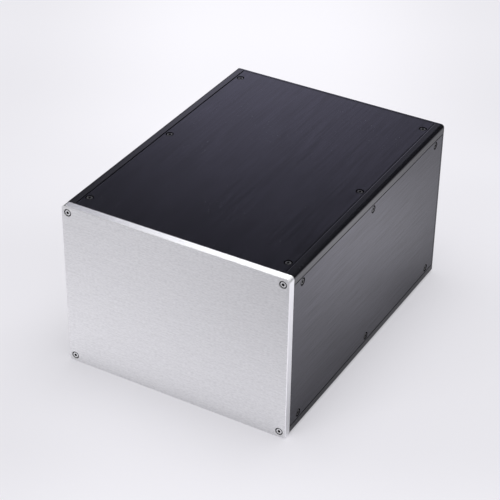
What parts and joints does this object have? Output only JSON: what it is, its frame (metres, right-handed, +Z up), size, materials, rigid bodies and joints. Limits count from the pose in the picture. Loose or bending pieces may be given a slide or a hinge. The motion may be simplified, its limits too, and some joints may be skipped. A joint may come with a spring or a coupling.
{
  "type": "amplifier chassis",
  "caption": "Closed aluminium amplifier case: thick silver front panel, black plates let in flush between rounded corner rails, held by socket cap screws in counterbores.",
  "frame": {"origin": "middle of the case's footprint, on the surface that it stands on", "axes": "+X across the case to the right of someone facing the front panel, +Y from the front panel to the rear panel, +Z up"},
  "size_m": [0.236, 0.316, 0.174],
  "materials": {
    "silver_panel": "brushed satin",
    "black_plate": "black anodised, brushed",
    "black_rail": "black anodised, satin",
    "stainless_screw": "turned stainless steel",
    "black_screw": "black oxide, satin"
  },
  "bodies": {
    "root": {"front_panel": "silver_panel", "rear_panel": "black_plate", "top_plate": "black_plate", "bottom_plate": "black_plate", "left_plate": "black_plate", "right_plate": "black_plate", "top_left_rail": "black_rail", "top_right_rail": "black_rail", "bottom_left_rail": "black_rail", "bottom_right_rail": "black_rail", "front_panel_screws": "stainless_screw", "rear_panel_screws": "black_screw", "top_plate_left_screws": "black_screw", "top_plate_right_screws": "black_screw", "bottom_plate_left_screws": "black_screw", "bottom_plate_right_screws": "black_screw", "left_plate_upper_screws": "black_screw", "left_plate_lower_screws": "black_screw", "right_plate_upper_screws": "black_screw", "right_plate_lower_screws": "black_screw"}
  },
  "joints": []
}
